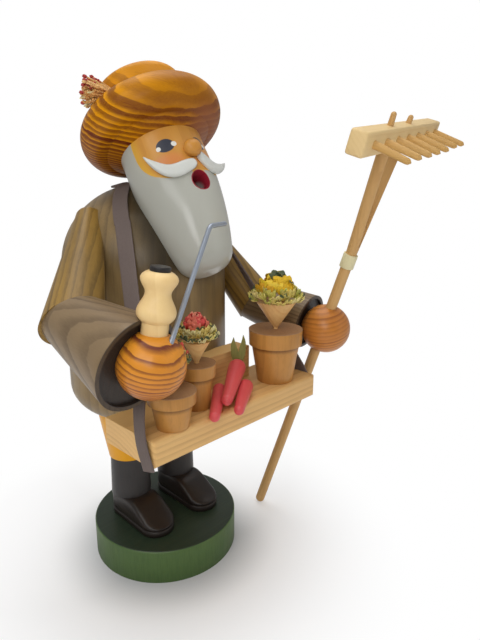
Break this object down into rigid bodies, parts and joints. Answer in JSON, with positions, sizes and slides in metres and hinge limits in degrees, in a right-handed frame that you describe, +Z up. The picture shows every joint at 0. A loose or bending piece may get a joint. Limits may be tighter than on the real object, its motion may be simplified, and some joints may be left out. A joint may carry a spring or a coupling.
{
  "type": "incense smoker figure",
  "caption": "Turned wooden incense smoker: a bearded gardener with pipe, rake and a tray of flower pots, whose coat lifts off a stand that holds the incense cone.",
  "frame": {"origin": "middle of the base's flat underside", "axes": "+Z up; the figure faces -Y; its right hand, with the pipe, is at -X and its left hand, with the rake, at +X"},
  "size_m": [0.1704, 0.1502, 0.2238],
  "materials": {
    "green_stain": "green stain, satin lacquer",
    "plain_beech": "bare turned beech",
    "dark_shoe": "dark brown stain, satin lacquer",
    "grey_boot": "grey stain, satin lacquer",
    "yellow_trouser": "yellow stain, satin lacquer",
    "sheet_brass": "pressed sheet brass",
    "head_paint": "turned head, clear face and glossy light grey beard",
    "skin_wood": "orange stain, clear lacquer",
    "grey_beard": "light grey paint, gloss",
    "hat_stain": "amber stain, clear lacquer",
    "dried_flowers": "dried florets",
    "green_shaving": "thin green stained shaving",
    "coat_stain": "olive brown stain, clear lacquer",
    "sleeve_stain": "grey brown stain, clear lacquer",
    "pale_wood": "bare pale wood",
    "strap_leather": "thin dark leather",
    "pot_stain": "clay brown stain",
    "flower_cone": "turned, clear lacquer",
    "petal_shaving": "curled wood shavings, stained",
    "radish_paint": "crimson paint",
    "black_paint": "black paint, satin",
    "stem_wire": "dull grey wire",
    "rake_wood": "bare pale wood"
  },
  "bodies": {
    "stand": {"base": "green_stain", "leg_dowels": "plain_beech", "right_shoe": "dark_shoe", "left_shoe": "dark_shoe", "right_boot_leg": "grey_boot", "left_boot_leg": "grey_boot", "right_trouser_leg": "yellow_trouser", "left_trouser_leg": "yellow_trouser", "hip": "plain_beech", "incense_plate": "sheet_brass", "plate_tack": "sheet_brass"},
    "figure": {"arm_dowels": "plain_beech", "back_flower_bloom": "petal_shaving", "back_flower_cone": "flower_cone", "back_flower_frill": "petal_shaving", "back_pot": "pot_stain", "coat": "coat_stain", "front_flower_bloom": "petal_shaving", "front_flower_cone": "flower_cone", "front_flower_frill": "petal_shaving", "front_pot": "pot_stain", "hat": "hat_stain", "hat_posy": "dried_flowers", "hat_posy_leaf": "green_shaving", "head": "head_paint", "large_flower_bloom": "petal_shaving", "large_flower_cone": "flower_cone", "large_flower_frill": "petal_shaving", "large_pot": "pot_stain", "left_hand": "skin_wood", "left_moustache": "grey_beard", "left_radish": "radish_paint", "left_sleeve": "sleeve_stain", "left_upper_arm": "coat_stain", "nose": "skin_wood", "pipe_bowl": "pale_wood", "pipe_lid": "black_paint", "pipe_stem": "stem_wire", "radish_leaf": "green_shaving", "right_hand": "skin_wood", "right_moustache": "grey_beard", "right_radish": "radish_paint", "right_sleeve": "sleeve_stain", "right_upper_arm": "coat_stain", "strap": "strap_leather", "top_radish": "radish_paint", "tray": "pale_wood", "tray_dowel": "plain_beech"},
    "rake": {"rake_handle": "rake_wood", "rake_ferrule": "pale_wood", "rake_head": "rake_wood", "rake_tine_1": "rake_wood", "rake_tine_2": "rake_wood", "rake_tine_3": "rake_wood", "rake_tine_4": "rake_wood", "rake_tine_5": "rake_wood", "rake_tine_6": "rake_wood", "rake_tine_7": "rake_wood"}
  },
  "joints": [
    {"name": "figure_lift", "type": "slide", "parent": "stand", "child": "figure", "axis": [0, 0, 1], "range_m": [0, 0.06]},
    {"name": "rake_lift", "type": "slide", "parent": "figure", "child": "rake", "axis": [0.0043, -0.3319, 0.9433], "range_m": [0, 0.135]}
  ]
}
